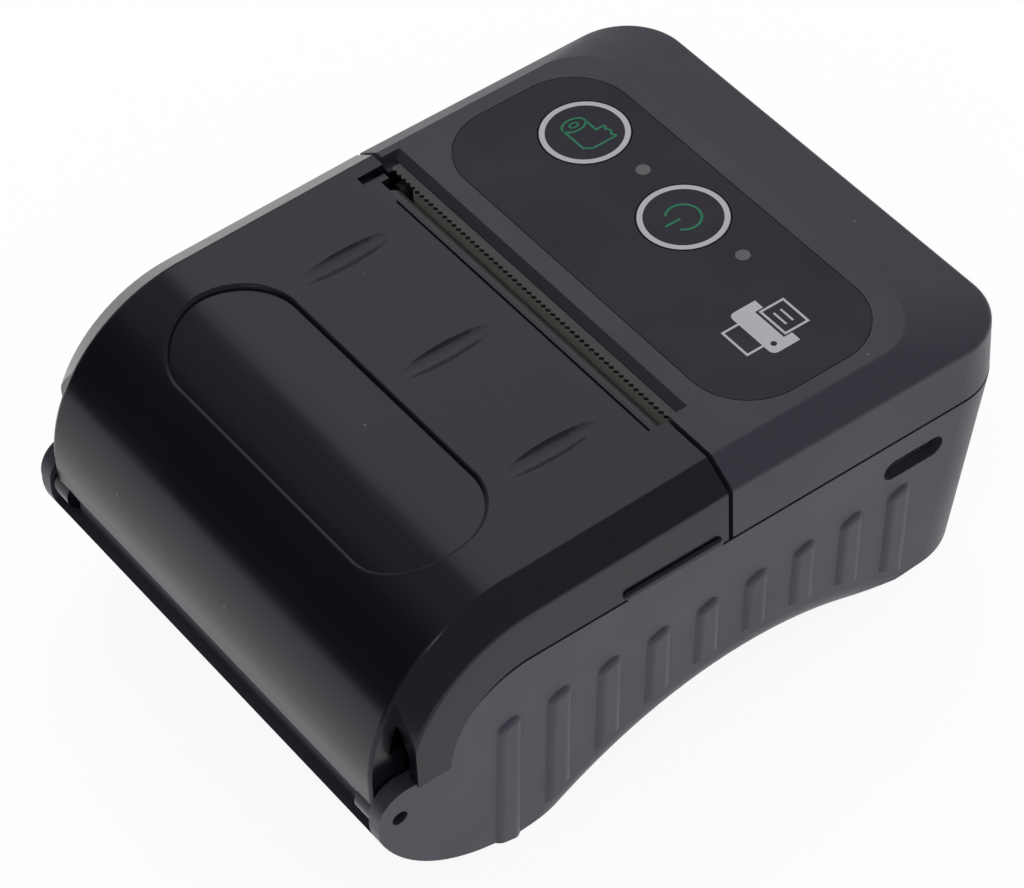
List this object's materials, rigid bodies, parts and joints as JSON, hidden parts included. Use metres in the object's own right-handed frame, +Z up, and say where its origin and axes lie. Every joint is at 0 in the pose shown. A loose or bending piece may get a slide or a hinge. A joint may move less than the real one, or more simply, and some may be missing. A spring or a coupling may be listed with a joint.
{
  "type": "portable receipt printer",
  "caption": "Handheld thermal receipt printer with a hinged paper door, paper bay, platen roller, tear bar, press buttons and a flush control panel.",
  "frame": {"origin": "on the standing plane, under the middle of the printer's box", "axes": "+Z up, +Y from the door's hinge towards the control panel's end, +X the side with the charging slot"},
  "size_m": [0.0792, 0.1018, 0.0451],
  "materials": {
    "case_black": "semi-gloss moulded",
    "door_smoke": "glossy",
    "panel_film": "fine grained film",
    "light_pipe": "frosted clear",
    "blade_black": "blackened steel",
    "steel": "turned",
    "platen_rubber": "matt ground",
    "gear_white": "moulded acetal",
    "ceramic": "glazed ceramic",
    "aluminium": "extruded",
    "sheet_steel": "plated sheet",
    "brass": "turned",
    "circuit_board": "solder mask",
    "switch_black": "moulded",
    "battery_wrap": "shrink film"
  },
  "bodies": {
    "case": {"lower_case": "case_black", "upper_case": "case_black", "control_panel": "panel_film", "light_guides": "light_pipe", "tear_bar": "blade_black", "hinge_pins": "steel", "head_axle": "steel", "head_springs": "steel", "mechanism_frame": "sheet_steel", "frame_screws": "steel", "stepper_motor": "sheet_steel", "gear_axle": "steel", "key_board": "circuit_board", "key_switches": "switch_black", "board_screws": "steel", "main_board": "circuit_board", "usb_socket": "steel", "battery_pack": "battery_wrap", "case_screws": "steel"},
    "door": {"paper_door": "door_smoke", "platen_bushings": "brass"},
    "platen": {"platen_shaft": "steel", "platen_rubber": "platen_rubber", "platen_gear": "gear_white"},
    "wheel": {"reduction_gear": "gear_white"},
    "pinion": {"motor_pinion": "brass"},
    "feed_key": {"feed_button": "panel_film"},
    "power_key": {"power_button": "panel_film"},
    "head": {"print_head": "ceramic", "head_heat_sink": "aluminium"}
  },
  "joints": [
    {"name": "door_hinge", "type": "hinge", "parent": "case", "child": "door", "pos_m": [0, -0.04767, 0.01967], "axis": [1, 0, 0], "range_deg": [0, 90]},
    {"name": "platen_spin", "type": "hinge", "parent": "door", "child": "platen", "pos_m": [0, 0.00167, 0.03744], "axis": [1, 0, 0], "continuous": true},
    {"name": "wheel_spin", "type": "hinge", "parent": "case", "child": "wheel", "pos_m": [0.031, 0.00471, 0.0318], "axis": [1, 0, 0], "continuous": true},
    {"name": "pinion_spin", "type": "hinge", "parent": "case", "child": "pinion", "pos_m": [0.031, 0.01379, 0.02868], "axis": [1, 0, 0], "continuous": true},
    {"name": "feed_press", "type": "slide", "parent": "case", "child": "feed_key", "axis": [0, -0.0872, -0.9962], "range_m": [0, 0.0004], "stiffness_N_per_m": 500},
    {"name": "power_press", "type": "slide", "parent": "case", "child": "power_key", "axis": [0, -0.0872, -0.9962], "range_m": [0, 0.0004], "stiffness_N_per_m": 500},
    {"name": "head_pivot", "type": "hinge", "parent": "case", "child": "head", "pos_m": [0, 0.00695, 0.02834], "axis": [1, 0, 0], "range_deg": [-1.4, 0], "stiffness_Nm_per_rad": 0.5, "springref_deg": 1.72}
  ],
  "couplings": [
    {"joint": "wheel_spin", "follows": "platen_spin", "ratio": -1.2857},
    {"joint": "pinion_spin", "follows": "platen_spin", "ratio": 3.8571}
  ]
}
